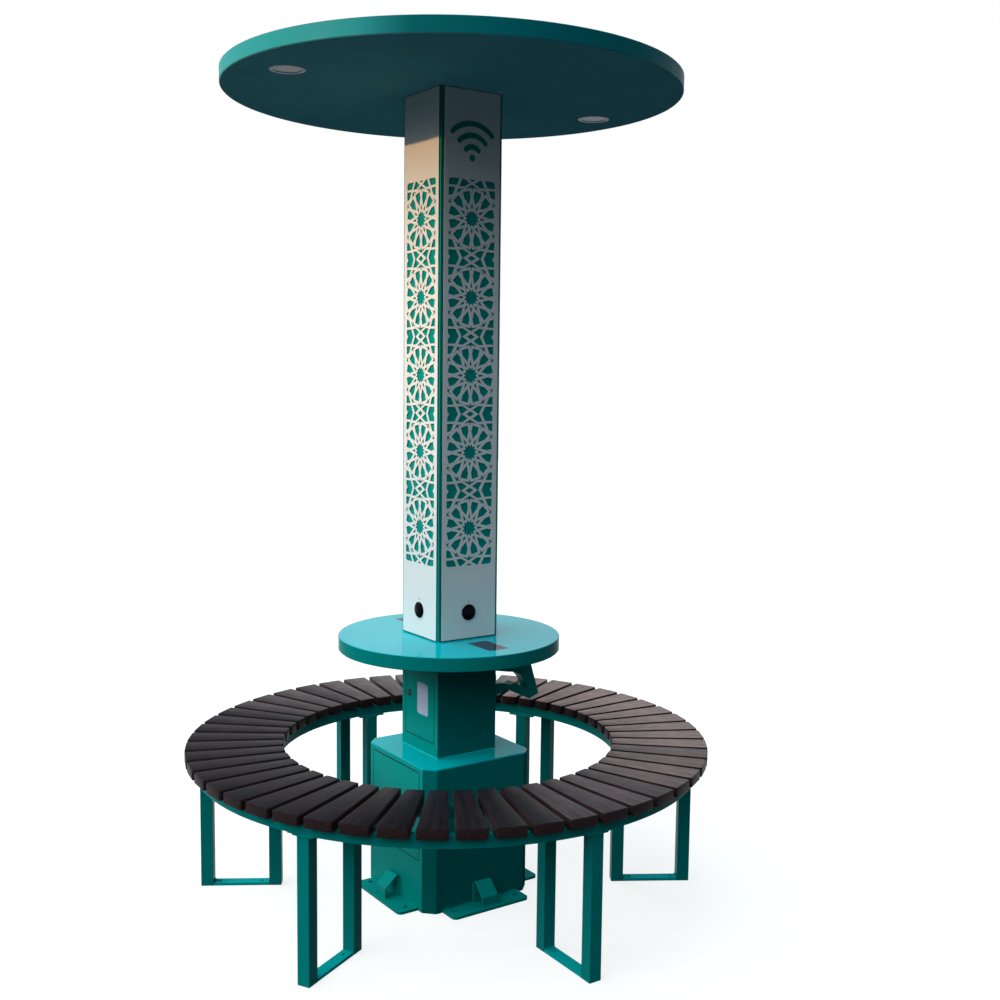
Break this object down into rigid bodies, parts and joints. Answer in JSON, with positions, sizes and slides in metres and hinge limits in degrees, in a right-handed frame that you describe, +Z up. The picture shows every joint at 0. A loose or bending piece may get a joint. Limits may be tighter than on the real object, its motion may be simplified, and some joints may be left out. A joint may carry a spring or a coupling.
{
  "type": "solar charging table",
  "caption": "Public charging column with a round solar canopy, star-pattern panels, table with charging pads and a ring bench of radial slats.",
  "frame": {"origin": "on the ground, on the axis of the column", "axes": "+Z up; the two doors face -X, and the charging pads lie on the -Y and +Y sides of the table"},
  "size_m": [1.524, 1.523, 2.342],
  "materials": {
    "teal_paint": "gloss",
    "white_facade": "satin",
    "zinc_steel": "satin",
    "lock_chrome": "polished",
    "battery_case": "matte",
    "black_plastic": "matte",
    "gloss_black": "gloss",
    "pale_plastic": "satin",
    "window_plastic": "gloss",
    "conduit_plastic": "matte",
    "module_aluminium": "anodised",
    "lamp_aluminium": "satin",
    "pad_glass": "polished",
    "solar_glass": "polished",
    "lamp_lens": "frosted",
    "wood_composite": "satin"
  },
  "bodies": {
    "root": {"cabinet_shell": "teal_paint", "cabinet_top_plate": "teal_paint", "cabinet_door_pivots": "zinc_steel", "battery_shelf": "zinc_steel", "battery": "battery_case", "battery_clamp": "zinc_steel", "anchor_plates": "teal_paint", "anchor_straps": "teal_paint", "pedestal_shell": "teal_paint", "pedestal_door_pivots": "zinc_steel", "equipment_plate": "zinc_steel", "charge_controller": "black_plastic", "dc_converter": "module_aluminium", "fuse_block": "pale_plastic", "wireless_router": "pale_plastic", "table_top": "teal_paint", "table_underplate": "teal_paint", "table_core": "zinc_steel", "pad_glasses": "pad_glass", "pad_modules": "black_plastic", "table_stay": "teal_paint", "column_tube": "teal_paint", "column_flanges": "zinc_steel", "column_bolts": "zinc_steel", "cable_conduit": "conduit_plastic", "facade_front": "white_facade", "facade_back": "white_facade", "facade_left": "white_facade", "facade_right": "white_facade", "socket_shells": "gloss_black", "socket_ports": "black_plastic", "socket_cap_pins": "zinc_steel", "status_lamps": "lamp_lens", "canopy_pan": "teal_paint", "canopy_hub": "zinc_steel", "canopy_ribs": "zinc_steel", "canopy_deck": "teal_paint", "solar_modules": "solar_glass", "module_trims": "module_aluminium", "junction_boxes": "black_plastic", "downlight_bezels": "lamp_aluminium", "downlight_lenses": "lamp_lens", "downlight_bodies": "zinc_steel", "seat_rings": "teal_paint", "bench_posts": "teal_paint", "bench_foot_bars": "teal_paint", "bench_leg_plates": "teal_paint", "bench_slats": "wood_composite", "slat_screws": "zinc_steel"},
    "cabinet_door": {"cabinet_door": "teal_paint", "cabinet_lock_body": "lock_chrome"},
    "cabinet_lock": {"cabinet_lock_cam": "zinc_steel"},
    "pedestal_door": {"pedestal_door": "teal_paint", "pedestal_window": "window_plastic", "pedestal_lock_body": "lock_chrome"},
    "pedestal_lock": {"pedestal_lock_cam": "zinc_steel"},
    "cap_front": {"socket_cap_front": "gloss_black"},
    "cap_back": {"socket_cap_back": "gloss_black"},
    "cap_left": {"socket_cap_left": "gloss_black"},
    "cap_right": {"socket_cap_right": "gloss_black"}
  },
  "joints": [
    {"name": "cabinet_door_swing", "type": "hinge", "parent": "root", "child": "cabinet_door", "pos_m": [-0.173, -0.123, 0.275], "axis": [0, 0, 1], "range_deg": [0, 105]},
    {"name": "cabinet_lock_turn", "type": "hinge", "parent": "cabinet_door", "child": "cabinet_lock", "pos_m": [-0.18, 0.1115, 0.275], "axis": [1, 0, 0], "range_deg": [0, 90]},
    {"name": "pedestal_door_swing", "type": "hinge", "parent": "root", "child": "pedestal_door", "pos_m": [-0.093, -0.0705, 0.581], "axis": [0, 0, 1], "range_deg": [0, 105]},
    {"name": "pedestal_lock_turn", "type": "hinge", "parent": "pedestal_door", "child": "pedestal_lock", "pos_m": [-0.1, 0.059, 0.581], "axis": [1, 0, 0], "range_deg": [0, 90]},
    {"name": "cap_front_flip", "type": "hinge", "parent": "root", "child": "cap_front", "pos_m": [0, -0.107, 0.8585], "axis": [-1, 0, 0], "range_deg": [0, 110]},
    {"name": "cap_back_flip", "type": "hinge", "parent": "root", "child": "cap_back", "pos_m": [0, 0.107, 0.8585], "axis": [1, 0, 0], "range_deg": [0, 110]},
    {"name": "cap_left_flip", "type": "hinge", "parent": "root", "child": "cap_left", "pos_m": [-0.107, 0, 0.8585], "axis": [0, 1, 0], "range_deg": [0, 110]},
    {"name": "cap_right_flip", "type": "hinge", "parent": "root", "child": "cap_right", "pos_m": [0.107, 0, 0.8585], "axis": [0, -1, 0], "range_deg": [0, 110]}
  ]
}
